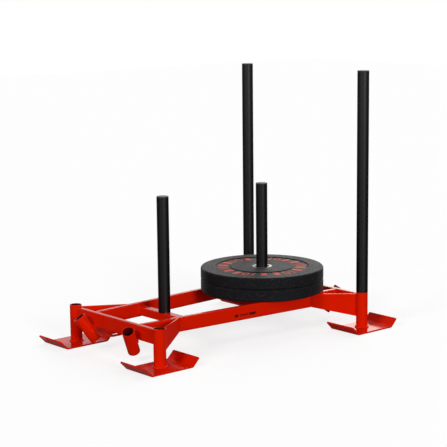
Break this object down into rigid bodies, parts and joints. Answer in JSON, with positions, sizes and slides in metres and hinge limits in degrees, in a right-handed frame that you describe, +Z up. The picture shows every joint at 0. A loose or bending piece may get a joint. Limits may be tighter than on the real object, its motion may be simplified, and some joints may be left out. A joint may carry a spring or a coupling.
{
  "type": "push sled",
  "caption": "Steel push sled on turned-up skids, with lift-out tall push poles, lift-off weight posts, low handle tubes and bumper plates stacked on the rear post.",
  "frame": {"origin": "on the ground, under the middle of the sled", "axes": "+X along the sled towards the tall poles, +Y to the sled's right as it is pushed, +Z up"},
  "size_m": [1.103, 0.748, 0.9325],
  "materials": {
    "red_powder_coat": "gloss powder coat on steel",
    "black_powder_coat": "semi-gloss powder coat on steel",
    "black_plastic": "moulded polyethylene",
    "flecked_rubber": "moulded crumb rubber with colour flecks",
    "zinc_steel": "bright zinc plate"
  },
  "bodies": {
    "root": {"left_front_skid": "red_powder_coat", "right_front_skid": "red_powder_coat", "left_rear_skid": "red_powder_coat", "right_rear_skid": "red_powder_coat", "left_front_post": "red_powder_coat", "right_front_post": "red_powder_coat", "left_rear_post": "red_powder_coat", "right_rear_post": "red_powder_coat", "left_front_gusset": "red_powder_coat", "right_front_gusset": "red_powder_coat", "left_rear_gusset": "red_powder_coat", "right_rear_gusset": "red_powder_coat", "left_front_low_handle": "red_powder_coat", "right_front_low_handle": "red_powder_coat", "left_rear_low_handle": "red_powder_coat", "right_rear_low_handle": "red_powder_coat", "front_cross_member": "red_powder_coat", "rear_cross_member": "red_powder_coat", "left_rail": "red_powder_coat", "right_rail": "red_powder_coat", "plate_support": "red_powder_coat", "tow_loop": "red_powder_coat", "front_post_carrier": "red_powder_coat", "rear_post_carrier": "red_powder_coat", "front_post_stub": "red_powder_coat", "rear_post_stub": "red_powder_coat"},
    "left_pole": {"left_tall_pole": "black_powder_coat", "left_pole_spigot": "black_powder_coat", "left_pole_cap": "black_plastic"},
    "right_pole": {"right_tall_pole": "black_powder_coat", "right_pole_spigot": "black_powder_coat", "right_pole_cap": "black_plastic"},
    "front_weight_post": {"front_weight_post": "black_powder_coat", "front_weight_post_cap": "black_plastic"},
    "rear_weight_post": {"rear_weight_post": "black_powder_coat", "rear_weight_post_cap": "black_plastic"},
    "lower_plate": {"lower_plate": "flecked_rubber", "lower_plate_hub_ring": "zinc_steel"},
    "upper_plate": {"upper_plate": "flecked_rubber", "upper_plate_hub_ring": "zinc_steel"}
  },
  "joints": [
    {"name": "left_pole_lift", "type": "slide", "parent": "root", "child": "left_pole", "axis": [0, 0, 1], "range_m": [0, 0.12]},
    {"name": "right_pole_lift", "type": "slide", "parent": "root", "child": "right_pole", "axis": [0, 0, 1], "range_m": [0, 0.12]},
    {"name": "front_post_lift", "type": "slide", "parent": "root", "child": "front_weight_post", "axis": [0, 0, 1], "range_m": [0, 0.1]},
    {"name": "rear_post_lift", "type": "slide", "parent": "root", "child": "rear_weight_post", "axis": [0, 0, 1], "range_m": [0, 0.1]},
    {"name": "lower_plate_lift", "type": "slide", "parent": "root", "child": "lower_plate", "axis": [0, 0, 1], "range_m": [0, 0.4]},
    {"name": "upper_plate_lift", "type": "slide", "parent": "lower_plate", "child": "upper_plate", "axis": [0, 0, 1], "range_m": [0, 0.36]}
  ]
}
